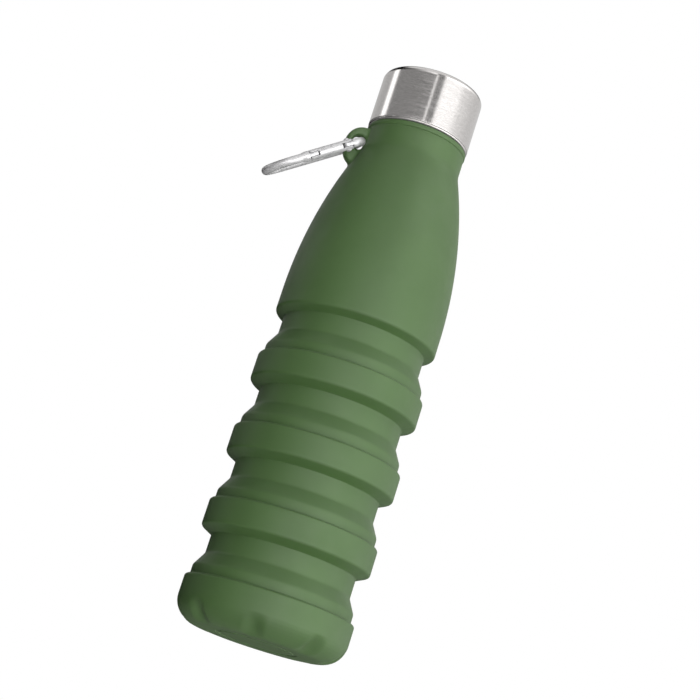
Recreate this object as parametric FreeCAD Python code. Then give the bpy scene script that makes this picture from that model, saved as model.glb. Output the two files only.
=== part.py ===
"""A folding silicone travel bottle with a screw cap and a carabiner, in millimetres.

Origin: centre of the base's underside. +Z runs up the bottle's axis and the carry ear points along -X.
The silicone body is one moulding on the real bottle. It is split here at its fold walls, so that each
fold can move.
"""

import FreeCAD
import Part
import math
import os

Vec = FreeCAD.Vector
AXIS = Vec(0, 0, 1)
ORIGIN = Vec(0, 0, 0)
FULL_TURN = 360

# Silicone body: driving sizes.
band_radius = 35.0
groove_radius = 30.0
collar_radius = 33.2
rim_radius = 34.0
neck_radius = 21.2
lip_radius = 21.5
band_wall = 2.8
fold_wall = 1.3
shoulder_wall = 2.6
fold_count = 4

# Heights inside one fold, counted from the step on top of the band below it.
collar_height = 4.15
cone_top = 9.75
crease_height = 17.75
corner_height = 20.1
fold_pitch = 31.25
stub_height = 0.6
band_seam_radius = 33.6
rim_seam_radius = 33.0

# Base cup.
base_height = 17.75
base_floor = 3.0
base_corner = 9.5
inner_corner = 7.0
edge_round = 1.1
small_round = 0.35
foot_groove_inner = 15.2
foot_groove_outer = 16.8
foot_groove_depth = 0.4
dimple_count = 8
dimple_first_angle = 26.0
dimple_radius = 4.2
dimple_depth = 1.3
dimple_slope = 45.0
dimple_length = 14.0

# Shoulder and neck.
shoulder_arc = 191.0
shoulder_arc_start = 140.0
neck_blend = 12.0
silicone_top = 219.75
lip_height = 2.2
lip_groove = 0.25

# Threaded mouth collar.
mouth_radius = 16.0
insert_radius = 19.0
insert_bottom = 203.0
funnel_bottom = 199.5
funnel_lip = 0.5
rib_radius = 19.7
rib_height = 1.2
rib_levels = (207.5, 212.5)
flange_radius = 20.7
flange_height = 1.0
thread_root = 17.6
collar_top = 236.5

# Screw thread, two starts.
thread_lead = 8.0
thread_starts = 2
thread_crest = 18.85
thread_bottom = 224.0
thread_turns = 1.1
ridge_root_width = 1.5
ridge_crest_width = 0.9
ridge_embed = 0.3
liner_turns = 0.85

# Cap.
cap_radius = 21.7
cap_bottom = 219.95
cap_top = 245.25
shell_wall = 0.5
cap_corner = 2.8
cap_bevel = 1.1
bevel_depth = 0.35
liner_radius = 21.15
liner_bore = 19.15
liner_crest = 17.95
liner_bottom = 221.1
liner_plate = 2.4
liner_rim_radius = 18.8
gasket_inner = 15.4
gasket_outer = 18.9
gasket_height = 1.8

# Carry ear: a plate in the XZ plane, with distances measured from the bottle's axis.
ear_thickness = 4.2
ear_hole = (23.7, 209.2)
ear_hole_radius = 3.0
ear_lobe = (21.8, 209.0)
ear_lobe_radius = 7.6
ear_chin = (22.6, 206.2)
ear_chin_radius = 6.5
ear_round = 1.0
ear_root = 14.0
core_bottom = 185.0
core_arc_top = 207.0
core_inset = 0.02

# Carabiner: u runs from the ear to the tip, v across to the spine, w through the flat loop.
carabiner_drop = 38.5
carabiner_roll = 5.5
carabiner_pull = 0.4
wire_radius = 1.8
loop_length = 41.7
loop_half = 9.2
ear_bend = 5.8
hinge_u = 8.1
tongue_radius = 1.8
tongue_half = 0.9
tongue_start = 5.85
gate_radius = 2.15
gate_wall = 0.6
gate_slot_half = 1.0
gate_cheek = 2.1
gate_end = 25.4
gate_slot_end = 10.9
gate_bore_start = 9.8
gate_bore_end = 21.0
latch_u = 23.7
latch_slot_start = 21.5
nose_start = 25.7
nose_tip = 21.9
nose_radius = 2.15
nose_length = 3.6
rivet_radius = 0.7
rivet_head_radius = 1.2
rivet_head_height = 0.7
pin_radius = 0.6
notch_ease = 0.35
fit_gap = 0.05
plunger_length = 3.0
plunger_stem = 1.6
spring_wire = 0.2
spring_radius = 1.15
spring_turns = 9
head_sink = 0.15


def corner_points(before, corner, after, radius):
    """Tangent points and middle point of a round of this radius at a corner."""
    to_before = (before - corner).normalize()
    to_after = (after - corner).normalize()
    half = to_before.getAngle(to_after) / 2
    reach = radius / math.tan(half)
    bisector = (to_before + to_after).normalize()
    centre = corner + bisector * (radius / math.sin(half))
    return corner + to_before * reach, centre - bisector * radius, corner + to_after * reach


def outline(corners):
    """Closed wire in the XZ plane. A corner is (x, z) or (x, z, radius of its round)."""
    points = [Vec(c[0], 0, c[1]) for c in corners]
    radii = [c[2] if len(c) > 2 else 0 for c in corners]
    count = len(points)
    stretches = []
    for i, point in enumerate(points):
        if radii[i]:
            stretches.append(corner_points(points[i - 1], point, points[(i + 1) % count], radii[i]))
        else:
            stretches.append((point,))
    edges = []
    for i, stretch in enumerate(stretches):
        if len(stretch) == 3:
            edges.append(Part.Arc(*stretch).toShape())
        start = stretch[-1]
        end = stretches[(i + 1) % count][0]
        if start.distanceToPoint(end) > 1e-6:
            edges.append(Part.makeLine(start, end))
    return Part.Wire(edges)


def turned(wire):
    """Solid of revolution about the bottle's axis."""
    return Part.Face(wire).revolve(ORIGIN, AXIS, FULL_TURN)


def underside_height(radius, crease):
    """Height of the sloping underside of a band, outside the crease where it meets the groove."""
    slope = (corner_height - crease_height) / (band_radius - 0.4 - groove_radius)
    return crease + (radius - groove_radius) * slope


def underside_offset():
    """Radial and axial step from the outer to the inner face of the underside's wall."""
    angle = math.atan((corner_height - crease_height) / (band_radius - 0.4 - groove_radius))
    return -fold_wall * math.sin(angle), fold_wall * math.cos(angle)


def ring_bottom(crease):
    """Corners of a band's lower edge, from its inner wall out to its side."""
    step_in, step_up = underside_offset()
    seam = underside_height(band_seam_radius, crease)
    corner = underside_height(band_radius, crease)
    return [
        (band_radius - band_wall, corner + 2.0, small_round),
        (band_seam_radius + step_in, seam + step_up),
        (band_seam_radius, seam),
        (band_radius, corner, edge_round),
    ]


def ring_top(step):
    """Corners of a band's upper edge with the stub of the collar above it, from its side inwards."""
    return [
        (band_radius, step, edge_round),
        (collar_radius, step, small_round),
        (collar_radius, step + stub_height),
        (collar_radius - fold_wall, step + stub_height),
        (collar_radius - fold_wall, step - 1.0),
        (band_radius - band_wall, step - 2.5),
    ]


def fold_ring(index):
    """One thick band, counted from the base."""
    crease = base_height + (index - 1) * fold_pitch + crease_height
    step = base_height + index * fold_pitch
    corners = ring_bottom(crease) + ring_top(step)
    return turned(outline(corners))


def fold_wall_section(index):
    """The thin wall between two bands, counted from the base: collar, cone, groove and underside."""
    step = base_height + (index - 1) * fold_pitch
    crease = step + crease_height
    seam_radius = band_seam_radius if index < fold_count else rim_seam_radius
    step_in, step_up = underside_offset()
    seam = underside_height(seam_radius, crease)
    inner_crease = crease + (step_up - fold_wall * (seam - crease) / (seam_radius - groove_radius))
    outer = [
        (collar_radius, step + stub_height),
        (collar_radius, step + collar_height, 2.4),
        (groove_radius, step + cone_top, 2.4),
        (groove_radius, crease, small_round),
        (seam_radius, seam),
    ]
    inner = [
        (seam_radius + step_in, seam + step_up),
        (groove_radius - fold_wall, inner_crease),
        (groove_radius - fold_wall, step + cone_top - 0.4, 2.4),
        (collar_radius - fold_wall, step + collar_height - 0.4, 2.4),
        (collar_radius - fold_wall, step + stub_height),
    ]
    return turned(outline(outer + inner))


def base_cup():
    """The bottom cup with its step, foot groove and dimples."""
    inner_radius = band_radius - band_wall
    corners = [
        (0, 0),
        (foot_groove_inner, 0),
        (foot_groove_inner, foot_groove_depth),
        (foot_groove_outer, foot_groove_depth),
        (foot_groove_outer, 0),
        (band_radius, 0, base_corner),
    ]
    corners += ring_top(base_height)
    corners += [(inner_radius, base_floor, inner_corner), (0, base_floor)]
    cup = turned(outline(corners))
    # A round bar laid along the slope of the corner bites each dimple into it.
    slope = math.radians(dimple_slope)
    outwards = Vec(math.sin(slope), 0, -math.cos(slope))
    along = Vec(math.cos(slope), 0, math.sin(slope))
    corner_centre = Vec(band_radius - base_corner, 0, base_corner)
    bar_centre = corner_centre + outwards * (base_corner + dimple_radius - dimple_depth)
    bars = []
    for k in range(dimple_count):
        bar = Part.makeCylinder(
            dimple_radius, dimple_length, bar_centre - along * dimple_length / 2, along
        )
        bar.rotate(ORIGIN, AXIS, dimple_first_angle + k * FULL_TURN / dimple_count)
        bars.append(bar)
    return cup.cut(bars)


def arc_radius(height, inset):
    """Radius of the shoulder's long arc at a height, set in by a wall."""
    rise = height - shoulder_arc_start
    return rim_radius - shoulder_arc + math.sqrt((shoulder_arc - inset) ** 2 - rise**2)


def arc_between(low, high, inset):
    """The stretch of the shoulder's long arc between two heights."""
    points = [Vec(arc_radius(z, inset), 0, z) for z in (low, (low + high) / 2, high)]
    return Part.Arc(*points).toShape()


def chain(points):
    """Straight edges through points."""
    return [Part.makeLine(a, b) for a, b in zip(points, points[1:])]


def silicone_shoulder():
    """The upper shell: rim, long shoulder, neck and lip."""
    crease = base_height + (fold_count - 1) * fold_pitch + crease_height
    step_in, step_up = underside_offset()
    seam = underside_height(rim_seam_radius, crease)
    side_bottom = underside_height(rim_radius, crease)
    side_points = corner_points(
        Vec(rim_seam_radius, 0, seam),
        Vec(rim_radius, 0, side_bottom),
        Vec(rim_radius, 0, shoulder_arc_start),
        edge_round,
    )
    # The concave blend from the long arc into the neck.
    blend_x = neck_radius + neck_blend
    centre_x = rim_radius - shoulder_arc
    reach = shoulder_arc + neck_blend
    blend_z = shoulder_arc_start + math.sqrt(reach**2 - (blend_x - centre_x) ** 2)
    blend_low = shoulder_arc_start + (blend_z - shoulder_arc_start) * shoulder_arc / reach
    middle_angle = math.atan2(blend_z - shoulder_arc_start, blend_x - centre_x) / 2
    blend_middle = Vec(
        blend_x - neck_blend * math.cos(middle_angle), 0, blend_z - neck_blend * math.sin(middle_angle)
    )
    inner_low = Vec(arc_radius(shoulder_arc_start, shoulder_wall), 0, shoulder_arc_start)
    inner_high = Vec(arc_radius(funnel_bottom, shoulder_wall), 0, funnel_bottom)
    lip_bottom = silicone_top - lip_height
    edges = [Part.makeLine(Vec(rim_seam_radius, 0, seam), side_points[0])]
    edges.append(Part.Arc(*side_points).toShape())
    edges.append(Part.makeLine(side_points[2], Vec(rim_radius, 0, shoulder_arc_start)))
    edges.append(arc_between(shoulder_arc_start, blend_low, 0))
    edges.append(
        Part.Arc(
            Vec(arc_radius(blend_low, 0), 0, blend_low), blend_middle, Vec(neck_radius, 0, blend_z)
        ).toShape()
    )
    edges += chain(
        [
            Vec(neck_radius, 0, blend_z),
            Vec(neck_radius, 0, lip_bottom - lip_groove),
            Vec(lip_radius, 0, lip_bottom),
            Vec(lip_radius, 0, silicone_top - lip_groove),
            Vec(lip_radius - lip_groove, 0, silicone_top),
            Vec(insert_radius, 0, silicone_top),
            Vec(insert_radius, 0, insert_bottom),
            Vec(mouth_radius + funnel_lip, 0, insert_bottom),
            Vec(mouth_radius + funnel_lip, 0, insert_bottom - 1.0),
            inner_high,
        ]
    )
    edges.append(arc_between(shoulder_arc_start, funnel_bottom, shoulder_wall))
    edges += chain(
        [
            inner_low,
            Vec(inner_low.x, 0, side_bottom + 2.0),
            Vec(rim_seam_radius + step_in, 0, seam + step_up),
            Vec(rim_seam_radius, 0, seam),
        ]
    )
    return turned(Part.Wire(edges))


def thread_ridge(root, crest, bottom, turns, start):
    """One start of a thread, as a ridge of trapezium section that runs from root to crest."""
    helix = Part.makeHelix(thread_lead, thread_lead * turns, root)
    half_root = ridge_root_width / 2
    half_crest = ridge_crest_width / 2
    corners = [(root, -half_root), (crest, -half_crest), (crest, half_crest), (root, half_root)]
    section = Part.makePolygon([Vec(x, 0, z) for x, z in corners + corners[:1]])
    ridge = Part.Wire(helix).makePipeShell([section], True, True)
    ridge.translate(Vec(0, 0, bottom))
    ridge.rotate(ORIGIN, AXIS, start * FULL_TURN / thread_starts)
    return ridge


def threaded_collar():
    """The hard mouth insert: tube, retaining ribs, flange and external thread."""
    flange_bottom = silicone_top
    corners = [
        (mouth_radius, insert_bottom, small_round),
        (insert_radius, insert_bottom),
        (insert_radius, flange_bottom),
        (flange_radius, flange_bottom),
        (flange_radius, flange_bottom + flange_height, small_round),
        (thread_root, flange_bottom + flange_height),
        (thread_root, collar_top, 0.7),
        (mouth_radius, collar_top, 0.7),
    ]
    collar = turned(outline(corners))
    pieces = []
    for level in rib_levels:
        rib = Part.makeCylinder(rib_radius, rib_height, Vec(0, 0, level))
        pieces.append(rib.cut(Part.makeCylinder(insert_radius - ridge_embed, rib_height, Vec(0, 0, level))))
    for start in range(thread_starts):
        pieces.append(
            thread_ridge(thread_root - ridge_embed, thread_crest, thread_bottom, thread_turns, start)
        )
    return collar.fuse(pieces)


def cap_liner():
    """The cap's hard inner moulding: skirt, sealing plate, hollow crown and internal thread."""
    seat = collar_top + gasket_height
    crown = cap_top - shell_wall
    corners = [
        (0, seat),
        (liner_bore, seat),
        (liner_bore, liner_bottom, 0.5),
        (liner_radius, liner_bottom),
        (liner_radius, crown, cap_corner - shell_wall),
        (liner_rim_radius, crown),
        (liner_rim_radius, seat + liner_plate),
        (0, seat + liner_plate),
    ]
    liner = turned(outline(corners))
    # The internal ridges lie midway between the collar's, half a ridge spacing above them.
    spacing = thread_lead / thread_starts
    ridges = [
        thread_ridge(liner_bore + ridge_embed, liner_crest, thread_bottom + spacing / 2, liner_turns, start)
        for start in range(thread_starts)
    ]
    return liner.fuse(ridges)


def cap_shell():
    """The drawn steel cap with its bevelled bottom rim."""
    inner = cap_radius - shell_wall
    corners = [
        (0, cap_top),
        (cap_radius, cap_top, cap_corner),
        (cap_radius, cap_bottom + cap_bevel),
        (cap_radius - bevel_depth, cap_bottom),
        (inner - 0.25, cap_bottom),
        (inner, cap_bottom + cap_bevel),
        (inner, cap_top - shell_wall, cap_corner - shell_wall),
        (0, cap_top - shell_wall),
    ]
    return turned(outline(corners))


def cap_gasket():
    """The soft washer that seals the cap on the collar's top."""
    corners = [
        (gasket_inner, collar_top, small_round),
        (gasket_outer, collar_top, small_round),
        (gasket_outer, collar_top + gasket_height, small_round),
        (gasket_inner, collar_top + gasket_height, small_round),
    ]
    return turned(outline(corners))


def silicone_core():
    """Everything inside the silicone's outer surface near the ear, for fitting the ear to it."""
    low, high = core_bottom, core_arc_top
    edges = [arc_between(low, high, core_inset)]
    edges += chain(
        [
            Vec(arc_radius(high, core_inset), 0, high),
            Vec(neck_radius, 0, silicone_top),
            Vec(0, 0, silicone_top),
            Vec(0, 0, low),
            Vec(arc_radius(low, core_inset), 0, low),
        ]
    )
    return turned(Part.Wire(edges))


def carry_ear(shoulder):
    """The moulded ear: a rounded plate with an eye, trimmed to the neck and shoulder."""
    lobe = Vec(ear_lobe[0], 0, ear_lobe[1])
    chin = Vec(ear_chin[0], 0, ear_chin[1])
    # The outer side touches both rounds along this direction.
    to_chin = chin - lobe
    lean = math.acos((ear_lobe_radius - ear_chin_radius) / to_chin.Length)
    angle = math.atan2(to_chin.z, to_chin.x) + lean

    def on_round(centre, radius, turn):
        return centre + Vec(math.cos(turn), 0, math.sin(turn)) * radius

    quarter = math.pi / 2
    top = on_round(lobe, ear_lobe_radius, quarter)
    bottom = on_round(chin, ear_chin_radius, -quarter)
    lobe_middle = on_round(lobe, ear_lobe_radius, (angle + quarter) / 2)
    chin_middle = on_round(chin, ear_chin_radius, (angle - quarter) / 2)
    lobe_end = on_round(lobe, ear_lobe_radius, angle)
    chin_start = on_round(chin, ear_chin_radius, angle)
    edges = [Part.Arc(top, lobe_middle, lobe_end).toShape()]
    edges.append(Part.makeLine(lobe_end, chin_start))
    edges.append(Part.Arc(chin_start, chin_middle, bottom).toShape())
    edges += chain([bottom, Vec(ear_root, 0, bottom.z), Vec(ear_root, 0, top.z), top])
    plate = Part.Face(Part.Wire(edges)).extrude(Vec(0, ear_thickness, 0))
    plate.translate(Vec(0, -ear_thickness / 2, 0))
    rounded = [
        e for e in plate.Edges if e.BoundBox.YLength < 0.01 and e.CenterOfMass.x > neck_radius
    ]
    plate = plate.makeFillet(ear_round, rounded)
    eye = Part.makeCylinder(
        ear_hole_radius, 2 * ear_thickness, Vec(ear_hole[0], -ear_thickness, ear_hole[1]), Vec(0, 1, 0)
    )
    plate = plate.cut(eye)
    plate.rotate(ORIGIN, AXIS, 180)
    trimmed = plate.cut([silicone_core(), shoulder])
    return max(trimmed.Solids, key=lambda s: s.Volume)


def carabiner_place():
    """Placement that carries the carabiner's own axes (u, v, w) into the ear's eye."""
    drop = math.radians(carabiner_drop)
    roll = math.radians(carabiner_roll)
    along = Vec(-math.cos(drop), 0, -math.sin(drop))
    level = Vec(0, 1, 0)
    under = along.cross(level)
    across = level * math.cos(roll) - under * math.sin(roll)
    through = under * math.cos(roll) + level * math.sin(roll)
    eye = Vec(-ear_hole[0], 0, ear_hole[1]) + along * carabiner_pull
    turn = FreeCAD.Rotation(along, across, through, "XYZ")
    return FreeCAD.Placement(eye, turn)


def placed(shape):
    """A carabiner piece moved from its own axes into the bottle's frame."""
    moved = shape.copy()
    moved.Placement = carabiner_place().multiply(shape.Placement)
    return moved


def gate_bar(start, end, radius):
    """Round bar along u on the gate's side of the loop."""
    return Part.makeCylinder(radius, end - start, Vec(start, -loop_half, 0), Vec(1, 0, 0))


def gate_slab(start, end, low, high):
    """A box wider than the gate, between two places along u and two along w."""
    width = 4 * gate_radius
    corner = Vec(start, -loop_half - width / 2, low)
    return Part.makeBox(end - start, width, high - low, corner)


def cross_pin(u, radius, half):
    """A round bar through the gate's side of the loop, along w."""
    return Part.makeCylinder(radius, 2 * half, Vec(u, -loop_half, -half))


def loop_path():
    """Centre line of the bent wire, from its hinge end round the ear end and the tip to its nose."""
    side = loop_half
    bend = ear_bend
    flat = side - bend
    diagonal = math.sqrt(0.5)
    inner = bend * (1 - diagonal)
    outer = flat + bend * diagonal
    shoulder = loop_length - side
    first = Part.Arc(Vec(bend, -side, 0), Vec(inner, -outer, 0), Vec(0, -flat, 0))
    second = Part.Arc(Vec(0, flat, 0), Vec(inner, outer, 0), Vec(bend, side, 0))
    tip = Part.Arc(Vec(shoulder, side, 0), Vec(loop_length, 0, 0), Vec(shoulder, -side, 0))
    return [
        Part.makeLine(Vec(hinge_u + tongue_radius, -side, 0), Vec(bend, -side, 0)),
        first.toShape(),
        Part.makeLine(Vec(0, -flat, 0), Vec(0, flat, 0)),
        second.toShape(),
        Part.makeLine(Vec(bend, side, 0), Vec(shoulder, side, 0)),
        tip.toShape(),
        Part.makeLine(Vec(shoulder, -side, 0), Vec(nose_tip, -side, 0)),
    ]


def carabiner_frame():
    """The bent wire with a flattened tongue at the hinge and a hooked nose."""
    path = loop_path()
    start = path[0].Vertexes[0].Point
    section = Part.Wire(Part.makeCircle(wire_radius, start, Vec(1, 0, 0)))
    wire = Part.Wire(path).makePipeShell([section], True, False)
    # The nose swells just behind the gate's end.
    swell_end = nose_start + nose_length / 2
    swell = gate_bar(nose_start, swell_end, nose_radius)
    taper = Part.makeCone(
        nose_radius, wire_radius, nose_length / 2, Vec(swell_end, -loop_half, 0), Vec(1, 0, 0)
    )
    frame = wire.fuse([swell, taper]).removeSplitter()
    far = 2 * gate_radius
    tongue_end = hinge_u + 2 * tongue_radius
    cuts = [
        gate_slab(tongue_start, tongue_end, tongue_half, far),
        gate_slab(tongue_start, tongue_end, -far, -tongue_half),
        gate_slab(nose_tip - 1, nose_start, tongue_half, far),
        gate_slab(nose_tip - 1, nose_start, -far, -tongue_half),
        cross_pin(hinge_u, rivet_radius + fit_gap, far),
    ]
    # The notch that the latch pin drops into, open towards the inside of the loop.
    notch_radius = pin_radius + 2 * fit_gap
    notch_width = 2 * notch_radius + notch_ease
    notch_corner = Vec(latch_u + notch_radius - notch_width, -loop_half, -far)
    cuts.append(cross_pin(latch_u, notch_radius, far))
    cuts.append(Part.makeBox(notch_width, far, 2 * far, notch_corner))
    # The tongue ends in a round about the hinge.
    square_end = gate_slab(hinge_u, hinge_u + tongue_radius + 1, -far, far)
    cuts.append(square_end.cut(cross_pin(hinge_u, tongue_radius, far)))
    frame = frame.cut(cuts)
    return placed(max(frame.Solids, key=lambda s: s.Volume))


def carabiner_gate():
    """The tubular gate: slotted at the hinge and at the latch, bored for its spring."""
    far = 2 * gate_radius
    start = hinge_u - gate_cheek
    half = gate_slot_half
    cuts = [
        gate_slab(start - 1, gate_slot_end, -half, half),
        gate_slab(latch_slot_start, gate_end + 1, -half, half),
        gate_bar(gate_bore_start, gate_bore_end, gate_radius - gate_wall),
        cross_pin(hinge_u, rivet_radius + fit_gap, far),
        cross_pin(latch_u, pin_radius, far),
    ]
    # The cheeks are round about the hinge, so that they clear the wire as the gate swings.
    square_end = gate_slab(start - 1, hinge_u, -far, far)
    cuts.append(square_end.cut(cross_pin(hinge_u, gate_cheek, far)))
    return placed(gate_bar(start, gate_end, gate_radius).cut(cuts))


def domed_head(u, side):
    """One domed head of the rivet, sunk a little into the gate's cheek."""
    ball = (rivet_head_radius**2 + rivet_head_height**2) / (2 * rivet_head_height)
    dome = Part.makeSphere(ball, Vec(u, -loop_half, side * (gate_radius + rivet_head_height - ball)))
    base = gate_radius - head_sink
    low, high = sorted((side * base, side * (base + 2 * ball)))
    return dome.common(gate_slab(u - ball, u + ball, low, high))


def gate_rivet(gate):
    """The hinge rivet, with its heads seated on the gate's cheeks."""
    shank = cross_pin(hinge_u, rivet_radius, gate_radius)
    return placed(shank.fuse([domed_head(hinge_u, -1), domed_head(hinge_u, 1)])).cut(gate)


def latch_pin():
    """The plain pin across the gate's free end, which the nose hooks over."""
    return placed(cross_pin(latch_u, pin_radius, gate_radius - fit_gap))


def gate_plunger():
    """The small pusher between the spring and the hinge tongue."""
    start = hinge_u + tongue_radius + fit_gap
    step = start + plunger_length
    body = gate_bar(start, step, plunger_radius())
    stem = gate_bar(step, step + plunger_stem, plunger_radius() / 2)
    return placed(body.fuse(stem).removeSplitter())


def plunger_radius():
    """The pusher's radius, a running fit in the gate's bore."""
    return gate_radius - gate_wall - fit_gap


def gate_spring():
    """The closing spring inside the gate."""
    gap = spring_wire + fit_gap
    start = hinge_u + tongue_radius + fit_gap + plunger_length + gap
    length = gate_bore_end - gap - start
    helix = Part.makeHelix(length / spring_turns, length, spring_radius)
    section = Part.Wire(Part.makeCircle(spring_wire, Vec(spring_radius, 0, 0), Vec(0, 1, 0)))
    coil = Part.Wire(helix).makePipeShell([section], True, True)
    coil.rotate(ORIGIN, Vec(0, 1, 0), 90)
    coil.translate(Vec(start, -loop_half, 0))
    return placed(coil)


def save(name, shape):
    """Writes one node and reports its solids."""
    solids = shape.Solids
    sound = all(s.isValid() and s.isClosed() and s.Volume > 0 for s in solids)
    print(f"{name}: {len(solids)} solid, {shape.Volume:.0f} mm3, {'sound' if sound else 'NOT SOUND'}")
    whole = solids[0] if len(solids) == 1 else Part.Compound(solids)
    whole.exportStep(f"parts/{name}.step")


def main():
    os.makedirs("parts", exist_ok=True)
    collar = threaded_collar()
    shoulder = silicone_shoulder().cut(collar)
    save("base_cup", base_cup())
    for index in range(1, fold_count):
        save(f"fold_ring_{index}", fold_ring(index))
    for index in range(1, fold_count + 1):
        save(f"fold_wall_{index}", fold_wall_section(index))
    save("shoulder", shoulder)
    save("carry_ear", carry_ear(shoulder))
    save("neck_collar", collar)
    save("cap_shell", cap_shell())
    save("cap_liner", cap_liner())
    save("cap_gasket", cap_gasket())
    save("carabiner_frame", carabiner_frame())
    gate = carabiner_gate()
    save("carabiner_gate", gate)
    save("gate_rivet", gate_rivet(gate))
    save("latch_pin", latch_pin())
    save("gate_plunger", gate_plunger())
    save("gate_spring", gate_spring())


main()
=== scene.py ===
"""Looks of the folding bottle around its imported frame: silicone body, steel cap and carabiner.

Lengths are in millimetres, in the row frame, and become metres when a mesh is made.
"""

import bpy
import math
import numpy as np
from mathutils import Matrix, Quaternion, Vector


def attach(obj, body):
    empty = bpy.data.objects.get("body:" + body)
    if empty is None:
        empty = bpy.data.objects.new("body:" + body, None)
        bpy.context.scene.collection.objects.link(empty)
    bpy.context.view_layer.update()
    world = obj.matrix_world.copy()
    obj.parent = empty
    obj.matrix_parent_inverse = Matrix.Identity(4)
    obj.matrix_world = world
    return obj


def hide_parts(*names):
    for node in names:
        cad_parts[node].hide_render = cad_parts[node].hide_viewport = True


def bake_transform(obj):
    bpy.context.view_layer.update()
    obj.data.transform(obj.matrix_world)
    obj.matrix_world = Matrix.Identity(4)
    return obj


MM = 0.001
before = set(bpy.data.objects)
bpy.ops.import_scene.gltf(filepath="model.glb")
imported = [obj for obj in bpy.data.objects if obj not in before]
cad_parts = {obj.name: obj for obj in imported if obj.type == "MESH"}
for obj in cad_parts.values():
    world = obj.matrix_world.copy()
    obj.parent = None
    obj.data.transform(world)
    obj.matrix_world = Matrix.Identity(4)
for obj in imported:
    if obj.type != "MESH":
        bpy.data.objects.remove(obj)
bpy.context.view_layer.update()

# Silicone body.
band_radius = 35.0
collar_radius = 33.2
groove_radius = 30.0
rim_radius = 34.0
neck_radius = 21.2
lip_radius = 21.5
band_wall = 2.8
fold_wall = 1.3
shoulder_wall = 2.6
fold_count = 4
base_height = 17.75
fold_pitch = 31.25
stub_height = 0.6
collar_height = 4.15
cone_top = 9.75
crease_height = 17.75
corner_height = 20.1
band_seam = 33.6
rim_seam = 33.0
base_floor = 3.0
base_corner = 9.5
foot_groove = (15.2, 16.8, 0.4)
foot_groove_round = 0.25
base_inner_round = 7.0
corner_inset = 0.4
top_round = 1.0
corner_round = 1.3
stub_round = 0.3
fold_round = 2.4
fold_inner_drop = 0.4
crease_round = 0.45
inner_round = 0.35
inner_rise = 2.0
inner_step = (1.0, 2.5)

# Flutes in the base's lower corner. Their ends are angles round the corner, from its side downwards.
flute_count = 8
flute_first = 26.0
flute_radius = 5.0
flute_depth = 1.9
flute_ends = (6.0, 90.0)
flute_softness = 1.1
flute_fade = 1.4

# Shoulder and neck.
shoulder_arc = 191.0
shoulder_start = 140.0
neck_blend = 12.0
silicone_top = 219.75
funnel_height = 3.5

# The lip at the silicone's top. Heights of its line and its lower edge are from the lip's bottom.
lip_height = 2.2
lip_line_depth = 0.12
lip_line_heights = (-0.5, -0.12, 0.05)
lip_edge_inset = 0.2
lip_edge_heights = (0.18, 0.42)
lip_bevel = (0.14, 0.45)
insert_ledge = (0.5, 1.0)

# Carry ear, in the XZ plane, with distances from the bottle's axis.
ear_thickness = 4.2
ear_round = 1.3
ear_hole = (23.7, 209.2)
ear_hole_radius = 3.0
ear_lobe = (21.8, 209.0)
ear_lobe_radius = 7.6
ear_chin = (22.6, 205.3)
ear_chin_radius = 6.5
ear_root_blend = 1.5
ear_skin = 0.8
ear_proud = 0.012
ear_box = ((-33, -8, 190), (-17, 8, 220))

# Threaded collar.
mouth_radius = 16.0
insert_radius = 19.0
insert_bottom = 203.0
flange_radius = 20.7
flange_height = 1.0
thread_root = 17.6
thread_crest = 18.85
collar_top = 236.5
thread_lead = 8.0
thread_starts = 2
thread_bottom = 224.0
thread_rise = 8.8
ridge_root = 1.5
ridge_crest = 0.9
thread_taper = 14
insert_round = 0.35
flange_rounds = (0.2, 0.3)
mouth_round = 0.7

# Cap.
cap_radius = 21.7
cap_bottom = 219.95
cap_top = 245.25
cap_wall = 0.5
cap_corner = 2.8
cap_bevel = 1.1
cap_bevel_depth = 0.35
hem_bulge = 0.05
hem_shares = (0.75, 0.4)
hem_inner = 0.25
liner_radius = 21.15
liner_bore = 19.15
liner_crest = 17.95
liner_bottom = 221.1
liner_plate = 2.4
liner_rise = 6.8
liner_well = 18.8
gasket_height = 1.8
gasket_round = 0.35
gasket_inner = 15.4
gasket_outer = 18.9

# Carabiner: u runs from the ear to the tip, v across to the spine, w through the flat loop.
carabiner_drop = 38.5
carabiner_roll = 5.5
carabiner_pull = 0.4
wire_radius = 1.8
loop_length = 41.7
loop_half = 9.2
ear_bend = 5.8
hinge_u = 8.1
tongue_radius = 1.8
tongue_half = 0.9
tongue_start = 5.85
gate_radius = 2.15
gate_wall = 0.6
gate_slot_half = 1.0
gate_end = 25.4
gate_slot_end = 10.9
gate_bore = (9.8, 21.0)
latch_u = 23.7
latch_slot_start = 21.5
nose_start = 25.7
nose_tip = 21.9
nose_radius = 2.15
nose_length = 3.6
rivet_radius = 0.7
rivet_head_radius = 1.2
rivet_head_height = 0.7
head_sink = 0.15
pin_radius = 0.6
notch_radius = 0.7
notch_ease = 0.35
fit_gap = 0.05
tiny = 0.01
plunger_length = 3.0
plunger_stem = 1.6
wrought_edge = 0.3
net_margin = 0.5
nose_margin = 0.8

# Fineness of the meshes.
turns = 256
ear_step = 0.3
wire_step = 0.2
gate_step = 0.75 * wire_step


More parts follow.
